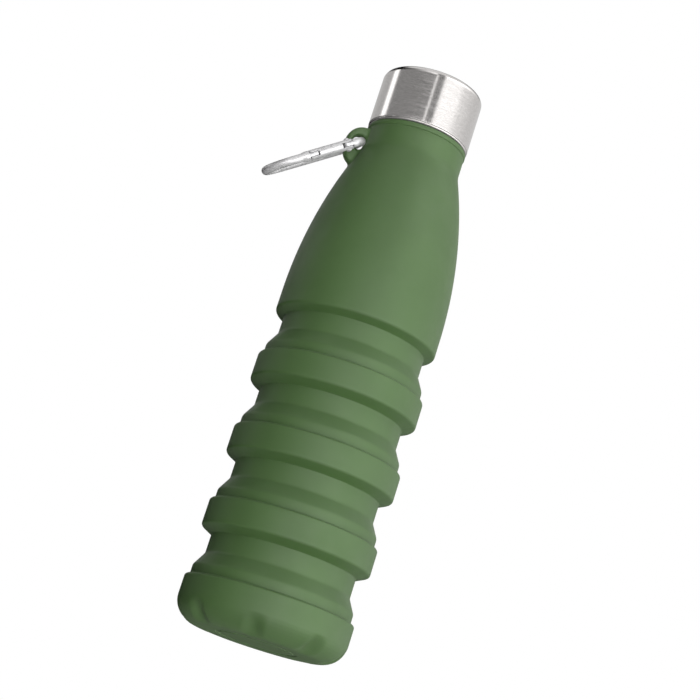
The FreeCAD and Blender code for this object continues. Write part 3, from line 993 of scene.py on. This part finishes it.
def plunger_outline():
    """The pusher's half section: a body that fills the bore and a stem inside the spring."""
    start = hinge_u + tongue_radius + fit_gap
    step = start + plunger_length
    radius = gate_radius - gate_wall - fit_gap
    corners = [(0, start), (radius, start, 0.25), (radius, step, 0.2), (radius / 2, step)]
    corners += [(radius / 2, step + plunger_stem, 0.2), (0, step + plunger_stem)]
    return rounded(corners, step=0.3)


def build_carabiner(wire, tube, pin, plastic, spring):
    """The bent wire, the gate with its rivet and latch pin, and the pusher and spring inside the gate."""
    slot = "carabiner_aluminium"
    wire_reach = wire_radius + net_margin
    nose_reach = nose_radius + net_margin
    low = (-wire_reach, -loop_half - wire_radius - nose_margin, -nose_reach)
    high = (loop_length + wire_reach, loop_half + wire_reach, nose_reach)
    loop = surface_net("carabiner_wire", frame_field, low, high, wire_step, into_ear)
    finish_piece(loop, wire, slot, "carabiner", "carabiner_frame")
    gate_reach = gate_radius + net_margin
    low = (hinge_u - gate_reach, -loop_half - gate_reach, -gate_reach)
    high = (gate_end + net_margin, -loop_half + gate_reach, gate_reach)
    gate = surface_net("carabiner_gate_tube", gate_field, low, high, gate_step, into_ear)
    finish_piece(gate, tube, slot, "gate", "carabiner_gate")
    rivet = lathe("gate_rivet_domed", rivet_outline(), segments=48, carry=across_gate(hinge_u))
    finish_piece(rivet, pin, slot, "gate", "gate_rivet")
    half = gate_radius - fit_gap
    bar = rounded([(0, half), (pin_radius, half, 0.15), (pin_radius, -half, 0.15), (0, -half)])
    latch = lathe("latch_pin_turned", bar, segments=32, carry=across_gate(latch_u))
    finish_piece(latch, pin, slot, "gate", "latch_pin")
    pusher = lathe("gate_plunger_moulded", plunger_outline(), segments=48, carry=along_gate)
    finish_piece(pusher, plastic, "cap_plastic", "gate", "gate_plunger")
    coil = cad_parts["gate_spring"]
    coil.data.materials.clear()
    coil.data.materials.append(spring)


# Stage.


def build_stage():
    """A pale floor that shows only from above, and neither lights nor shades the bottle."""
    half = 1.5
    corners = [(-half, -half, 0), (half, -half, 0), (half, half, 0), (-half, half, 0)]
    mesh = bpy.data.meshes.new("floor")
    mesh.from_pydata(corners, [], [(0, 1, 2, 3)])
    floor = bpy.data.objects.new("floor", mesh)
    bpy.context.scene.collection.objects.link(floor)
    floor.location.z = -0.0002
    material = bpy.data.materials.new("floor")
    material.use_nodes = True
    s = Shader(material.node_tree)
    paint = s.add("BsdfDiffuse")
    paint.inputs["Color"].default_value = (0.86, 0.86, 0.86, 1)
    fill = s.add("Emission", strength=0.5)
    pale = s.add("AddShader")
    s.join(paint, 0, pale, 0)
    s.join(fill, 0, pale, 1)
    clear = s.add("BsdfTransparent")
    mixed = s.add("MixShader")
    s.join(s.add("NewGeometry"), "Backfacing", mixed, 0)
    s.join(pale, 0, mixed, 1)
    s.join(clear, 0, mixed, 2)
    s.join(mixed, 0, s.add("OutputMaterial"), "Surface")
    mesh.materials.append(material)
    floor.visible_diffuse = False
    floor.visible_glossy = False
    floor.visible_shadow = False


camera_azimuth = -14.0
camera_elevation = -14.6
camera_distance = 736.0
camera_aim = 124.7
camera_lean = 17.8
camera_lens = 92.6


def build_camera():
    """The photograph's view: from a little below the base, with the bottle leaning right."""
    data = bpy.data.cameras.new("camera")
    data.lens = camera_lens
    data.sensor_width = 36.0
    camera = bpy.data.objects.new("camera", data)
    bpy.context.scene.collection.objects.link(camera)
    a, e = math.radians(camera_azimuth), math.radians(camera_elevation)
    back = Vector((math.sin(a) * math.cos(e), -math.cos(a) * math.cos(e), math.sin(e)))
    camera.location = Vector((0, 0, camera_aim * MM)) + back * camera_distance * MM
    camera.rotation_mode = "QUATERNION"
    lean = Quaternion((0, 0, 1), math.radians(camera_lean))
    camera.rotation_quaternion = (-back).to_track_quat("-Z", "Y") @ lean
    bpy.context.scene.camera = camera


# The studio's brightness by azimuth from the camera, in degrees, positive to the right. Shiny surfaces
# see three tiers of wall: the bands mirror the low one, the cap the high one, the shoulder the upper one.
low_walls = [
    (-180, 0.02), (-150, 0.0), (-85, 0.0), (-60, 0.22), (-40, 0.85), (-10, 2.4), (15, 3.5), (60, 3.5),
    (100, 1.8), (140, 0.6), (180, 0.02),
]
high_walls = [
    (-180, 0.62), (-112, 0.58), (-109, 2.0), (-97, 2.0), (-94, 0.36), (-60, 0.34), (-20, 0.2), (-3, 0.17),
    (-2, 1.4), (1, 1.4), (2, 0.2), (15, 0.18), (20, 1.36), (58, 1.36), (74, 0.95), (115, 0.78), (155, 0.74),
    (180, 0.62),
]
upper_walls = [
    (-180, 0.02), (-100, 0.0), (-60, 0.3), (-30, 0.9), (-5, 1.6), (1, 0.3), (18, 0.3), (26, 2.8), (60, 2.8),
    (100, 1.5), (140, 0.5), (180, 0.02),
]
high_edge = (0.22, 0.26)
upper_edge = (0.47, 0.53)
ceiling_light = 0.9
ceiling_edge = (0.76, 0.84)
floor_light = 0.3
floor_edge = (-0.15, -0.5)

# The softer light that falls on matt surfaces. Below the horizon its walls are brighter by key_low_boost.
key_walls = [
    (-180, 0.01), (-23, 0.01), (-9, 1.75), (24, 1.75), (38, 0.7), (105, 0.7), (115, 1.0), (150, 1.0),
    (168, 0.02), (180, 0.02),
]
key_ceiling = 0.2
key_ceiling_edge = (0.6, 0.95)
key_floor = 0.3
key_floor_edge = (-0.7, -1.0)
key_low_boost = 0.7
key_low_edge = (-0.15, -0.5)


def brightness_ramp(shader, share, stops):
    """Brightness looked up along stops of (share, brightness), for a share from 0 to 1."""
    brightest = max(b for _, b in stops)
    ramp = shader.add("ValToRGB")
    shader.tree.links.new(share, ramp.inputs[0])
    elements = ramp.color_ramp.elements
    elements.remove(elements[1])
    elements[0].color = (*[stops[0][1] / brightest] * 3, 1)
    for position, brightness in stops[1:]:
        elements.new(position).color = (*[brightness / brightest] * 3, 1)
    return shader.math("MULTIPLY", ramp.outputs["Color"], brightest)


def blended(shader, first, second, share):
    """The first brightness where share is 0, the second where it is 1."""
    kept = shader.math("MULTIPLY", first, shader.math("SUBTRACT", 1.0, share))
    return shader.math("ADD", kept, shader.math("MULTIPLY", share, second))


def build_light():
    """Soft studio light, mostly from the right. The camera sees plain white."""
    world = bpy.data.worlds.new("studio")
    bpy.context.scene.world = world
    world.use_nodes = True
    world.cycles.sampling_method = "NONE"
    s = Shader(world.node_tree)
    axes = s.add("SeparateXYZ")
    s.join(s.add("TexCoord"), "Generated", axes, 0)
    height = axes.outputs["Z"]
    azimuth = s.math("ARCTAN2", axes.outputs["X"], s.math("MULTIPLY", axes.outputs["Y"], -1))
    turned = s.math("ADD", azimuth, math.radians(-camera_azimuth) + math.pi)
    share = s.math("FRACT", s.math("DIVIDE", turned, 2 * math.pi))

    def walls(stops):
        return brightness_ramp(s, share, [((degrees + 180) / 360, b) for degrees, b in stops])

    def above(edge):
        return s.spread(height, 0.0, 1.0, *edge)

    mirrored = blended(s, walls(low_walls), walls(high_walls), above(high_edge))
    mirrored = blended(s, mirrored, walls(upper_walls), above(upper_edge))
    mirrored = blended(s, mirrored, ceiling_light, above(ceiling_edge))
    mirrored = blended(s, mirrored, floor_light, above(floor_edge))
    boost = s.math("ADD", 1.0, s.math("MULTIPLY", above(key_low_edge), key_low_boost))
    matt = s.math("MULTIPLY", walls(key_walls), boost)
    matt = blended(s, matt, key_ceiling, above(key_ceiling_edge))
    matt = blended(s, matt, key_floor, above(key_floor_edge))
    path = s.add("LightPath")
    lit = s.add("Background")
    s.tree.links.new(blended(s, mirrored, matt, path.outputs["Is Diffuse Ray"]), lit.inputs["Strength"])
    lit.inputs["Color"].default_value = (1, 0.995, 0.99, 1)
    plain = s.add("Background")
    plain.inputs["Color"].default_value = (1, 1, 1, 1)
    mixed = s.add("MixShader")
    s.join(path, "Is Camera Ray", mixed, 0)
    s.join(lit, 0, mixed, 1)
    s.join(plain, 0, mixed, 2)
    s.join(mixed, 0, s.add("OutputWorld"), "Surface")


green = silicone_material("silicone_green", (0.077, 0.151, 0.047), (0.07, 0.139, 0.042), 0.48)
build_silicone(green)
steel = brushed_steel_material()
build_mouth(moulded_material("collar_plastic", (0.32, 0.38, 0.3), 0.4))
black = moulded_material("cap_plastic", (0.03, 0.03, 0.032), 0.42)
washer = moulded_material("washer_silicone", (0.7, 0.7, 0.68), 0.5, glow=0.3)
build_cap(steel, black, washer)
light_metal = (0.74, 0.74, 0.75)
dull_metal = (0.64, 0.64, 0.65)
build_carabiner(
    wire=wrought_material("wire_aluminium", light_metal, dull_metal, 0.3),
    tube=wrought_material("tube_aluminium", light_metal, dull_metal, 0.26),
    pin=wrought_material("rivet_aluminium", light_metal, dull_metal, 0.32),
    plastic=black,
    spring=drawn_wire_material(),
)
build_stage()
build_light()
build_camera()
bpy.context.scene.view_settings.view_transform = "Standard"
